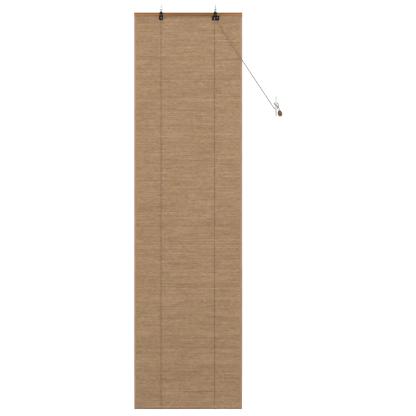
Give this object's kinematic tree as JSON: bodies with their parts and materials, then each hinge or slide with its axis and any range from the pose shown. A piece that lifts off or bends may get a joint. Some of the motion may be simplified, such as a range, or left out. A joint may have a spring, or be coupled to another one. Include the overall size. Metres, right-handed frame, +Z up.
{
  "type": "roll-up blind",
  "caption": "Woven bamboo blind that rolls up from the bottom on two lift cords, hung from screw hooks, with a pull cord wound on a wall cleat.",
  "frame": {"origin": "on the ceiling plane, midway between the two screw hooks", "axes": "+X along the battens, to the right seen from the room; +Y away from the room, towards the window; +Z up"},
  "size_m": [0.8214, 0.0532, 2.2493],
  "materials": {
    "bamboo": "fine split bamboo splints, matte, colour varying from splint to splint",
    "batten_wood": "orange-brown stained wood, satin varnish, fine grain along its length",
    "rod_wood": "red-brown stained rod, satin",
    "tassel_wood": "dark brown varnished turned wood",
    "bead_wood": "pinkish brown bead, satin",
    "grey_cap": "grey plastic end cap",
    "steel": "bright plated steel",
    "black_metal": "black lacquered steel, satin",
    "black_plastic": "black moulded plastic",
    "white_plastic": "pale grey moulded plastic wheel",
    "clear_plastic": "clear moulded plastic with a faint green tint",
    "cord": "twisted beige-brown cotton cord"
  },
  "bodies": {
    "root": {"hook_left": "steel", "hook_right": "steel", "cleat": "clear_plastic", "cleat_screw_upper": "steel", "cleat_screw_lower": "steel", "pull_cord": "cord"},
    "head": {"batten_front": "batten_wood", "batten_rear": "batten_wood", "mat_top": "bamboo", "hanger_loop_left": "black_metal", "hanger_loop_right": "black_metal", "bracket_left": "black_metal", "bracket_right": "black_metal", "bracket_screw_left": "steel", "bracket_screw_right": "steel", "block_left": "black_plastic", "block_right": "black_plastic", "axle_left": "steel", "axle_right": "steel", "axle_roller": "steel", "cross_cord": "cord", "lift_cord_left": "cord", "lift_cord_right": "cord"},
    "sheave_left": {"sheave_left": "white_plastic"},
    "sheave_right": {"sheave_right": "white_plastic"},
    "roller_right": {"roller_right": "black_plastic"},
    "tassel": {"tassel": "tassel_wood", "tassel_bead": "bead_wood"},
    "mat_24": {"mat_24": "bamboo"},
    "mat_23": {"mat_23": "bamboo"},
    "mat_22": {"mat_22": "bamboo"},
    "mat_21": {"mat_21": "bamboo"},
    "mat_20": {"mat_20": "bamboo"},
    "mat_19": {"mat_19": "bamboo"},
    "mat_18": {"mat_18": "bamboo"},
    "mat_17": {"mat_17": "bamboo"},
    "mat_16": {"mat_16": "bamboo"},
    "mat_15": {"mat_15": "bamboo"},
    "mat_14": {"mat_14": "bamboo"},
    "mat_13": {"mat_13": "bamboo"},
    "mat_12": {"mat_12": "bamboo"},
    "mat_11": {"mat_11": "bamboo"},
    "mat_10": {"mat_10": "bamboo"},
    "mat_09": {"mat_09": "bamboo"},
    "mat_08": {"mat_08": "bamboo"},
    "mat_07": {"mat_07": "bamboo"},
    "mat_06": {"mat_06": "bamboo"},
    "mat_05": {"mat_05": "bamboo"},
    "mat_04": {"mat_04": "bamboo"},
    "mat_03": {"mat_03": "bamboo"},
    "mat_02": {"mat_02": "bamboo"},
    "mat_01": {"mat_01": "bamboo", "bottom_rod": "rod_wood", "rod_cap_left": "grey_cap", "rod_cap_right": "grey_cap"}
  },
  "joints": [
    {"name": "head_swing", "type": "hinge", "parent": "root", "child": "head", "pos_m": [0, 0, -0.0131], "axis": [1, 0, 0], "range_deg": [-12, 12], "deforming": ["pull_cord"]},
    {"name": "sheave_left_spin", "type": "hinge", "parent": "head", "child": "sheave_left", "pos_m": [-0.1505, 0.004, -0.0515], "axis": [0, 1, 0], "continuous": true},
    {"name": "sheave_right_spin", "type": "hinge", "parent": "head", "child": "sheave_right", "pos_m": [0.146, 0.0044, -0.0545], "axis": [1, 0, 0], "continuous": true},
    {"name": "roller_right_spin", "type": "hinge", "parent": "head", "child": "roller_right", "pos_m": [0.1615, 0.0017, -0.0525], "axis": [0, 1, 0], "continuous": true},
    {"name": "tassel_swing", "type": "hinge", "parent": "root", "child": "tassel", "pos_m": [0.503, -0.0015, -0.5575], "axis": [1, 0, 0], "range_deg": [-20, 20]},
    {"name": "mat_fold_01", "type": "hinge", "parent": "mat_02", "child": "mat_01", "pos_m": [0, 0.0137, -2.16387], "axis": [1, 0, 0], "range_deg": [0, 90], "deforming": ["lift_cord_left", "lift_cord_right"]},
    {"name": "mat_fold_02", "type": "hinge", "parent": "mat_03", "child": "mat_02", "pos_m": [0, 0.0137, -2.10544], "axis": [1, 0, 0], "range_deg": [0, 90], "deforming": ["lift_cord_left", "lift_cord_right"]},
    {"name": "mat_fold_03", "type": "hinge", "parent": "mat_04", "child": "mat_03", "pos_m": [0, 0.0137, -2.04201], "axis": [1, 0, 0], "range_deg": [0, 90], "deforming": ["lift_cord_left", "lift_cord_right"]},
    {"name": "mat_fold_04", "type": "hinge", "parent": "mat_05", "child": "mat_04", "pos_m": [0, 0.0137, -1.97858], "axis": [1, 0, 0], "range_deg": [0, 90], "deforming": ["lift_cord_left", "lift_cord_right"]},
    {"name": "mat_fold_05", "type": "hinge", "parent": "mat_06", "child": "mat_05", "pos_m": [0, 0.0137, -1.91015], "axis": [1, 0, 0], "range_deg": [0, 90], "deforming": ["lift_cord_left", "lift_cord_right"]},
    {"name": "mat_fold_06", "type": "hinge", "parent": "mat_07", "child": "mat_06", "pos_m": [0, 0.0137, -1.84173], "axis": [1, 0, 0], "range_deg": [0, 90], "deforming": ["lift_cord_left", "lift_cord_right"]},
    {"name": "mat_fold_07", "type": "hinge", "parent": "mat_08", "child": "mat_07", "pos_m": [0, 0.0137, -1.7683], "axis": [1, 0, 0], "range_deg": [0, 90], "deforming": ["lift_cord_left", "lift_cord_right"]},
    {"name": "mat_fold_08", "type": "hinge", "parent": "mat_09", "child": "mat_08", "pos_m": [0, 0.0137, -1.69487], "axis": [1, 0, 0], "range_deg": [0, 90], "deforming": ["lift_cord_left", "lift_cord_right"]},
    {"name": "mat_fold_09", "type": "hinge", "parent": "mat_10", "child": "mat_09", "pos_m": [0, 0.0137, -1.61644], "axis": [1, 0, 0], "range_deg": [0, 90], "deforming": ["lift_cord_left", "lift_cord_right"]},
    {"name": "mat_fold_10", "type": "hinge", "parent": "mat_11", "child": "mat_10", "pos_m": [0, 0.0137, -1.53801], "axis": [1, 0, 0], "range_deg": [0, 90], "deforming": ["lift_cord_left", "lift_cord_right"]},
    {"name": "mat_fold_11", "type": "hinge", "parent": "mat_12", "child": "mat_11", "pos_m": [0, 0.0137, -1.45458], "axis": [1, 0, 0], "range_deg": [0, 90], "deforming": ["lift_cord_left", "lift_cord_right"]},
    {"name": "mat_fold_12", "type": "hinge", "parent": "mat_13", "child": "mat_12", "pos_m": [0, 0.0137, -1.37115], "axis": [1, 0, 0], "range_deg": [0, 90], "deforming": ["lift_cord_left", "lift_cord_right"]},
    {"name": "mat_fold_13", "type": "hinge", "parent": "mat_14", "child": "mat_13", "pos_m": [0, 0.0137, -1.28272], "axis": [1, 0, 0], "range_deg": [0, 90], "deforming": ["lift_cord_left", "lift_cord_right"]},
    {"name": "mat_fold_14", "type": "hinge", "parent": "mat_15", "child": "mat_14", "pos_m": [0, 0.0137, -1.19429], "axis": [1, 0, 0], "range_deg": [0, 90], "deforming": ["lift_cord_left", "lift_cord_right"]},
    {"name": "mat_fold_15", "type": "hinge", "parent": "mat_16", "child": "mat_15", "pos_m": [0, 0.0137, -1.10086], "axis": [1, 0, 0], "range_deg": [0, 90], "deforming": ["lift_cord_left", "lift_cord_right"]},
    {"name": "mat_fold_16", "type": "hinge", "parent": "mat_17", "child": "mat_16", "pos_m": [0, 0.0137, -1.00743], "axis": [1, 0, 0], "range_deg": [0, 90], "deforming": ["lift_cord_left", "lift_cord_right"]},
    {"name": "mat_fold_17", "type": "hinge", "parent": "mat_18", "child": "mat_17", "pos_m": [0, 0.0137, -0.909], "axis": [1, 0, 0], "range_deg": [0, 90], "deforming": ["lift_cord_left", "lift_cord_right"]},
    {"name": "mat_fold_18", "type": "hinge", "parent": "mat_19", "child": "mat_18", "pos_m": [0, 0.0137, -0.81058], "axis": [1, 0, 0], "range_deg": [0, 90], "deforming": ["lift_cord_left", "lift_cord_right"]},
    {"name": "mat_fold_19", "type": "hinge", "parent": "mat_20", "child": "mat_19", "pos_m": [0, 0.0137, -0.70715], "axis": [1, 0, 0], "range_deg": [0, 90], "deforming": ["lift_cord_left", "lift_cord_right"]},
    {"name": "mat_fold_20", "type": "hinge", "parent": "mat_21", "child": "mat_20", "pos_m": [0, 0.0137, -0.60372], "axis": [1, 0, 0], "range_deg": [0, 90], "deforming": ["lift_cord_left", "lift_cord_right"]},
    {"name": "mat_fold_21", "type": "hinge", "parent": "mat_22", "child": "mat_21", "pos_m": [0, 0.0137, -0.49529], "axis": [1, 0, 0], "range_deg": [0, 90], "deforming": ["lift_cord_left", "lift_cord_right"]},
    {"name": "mat_fold_22", "type": "hinge", "parent": "mat_23", "child": "mat_22", "pos_m": [0, 0.0137, -0.38686], "axis": [1, 0, 0], "range_deg": [0, 90], "deforming": ["lift_cord_left", "lift_cord_right"]},
    {"name": "mat_fold_23", "type": "hinge", "parent": "mat_24", "child": "mat_23", "pos_m": [0, 0.0137, -0.27343], "axis": [1, 0, 0], "range_deg": [0, 90], "deforming": ["lift_cord_left", "lift_cord_right"]},
    {"name": "mat_fold_24", "type": "hinge", "parent": "head", "child": "mat_24", "pos_m": [0, 0.0137, -0.16], "axis": [1, 0, 0], "range_deg": [0, 90], "deforming": ["lift_cord_left", "lift_cord_right"]}
  ]
}
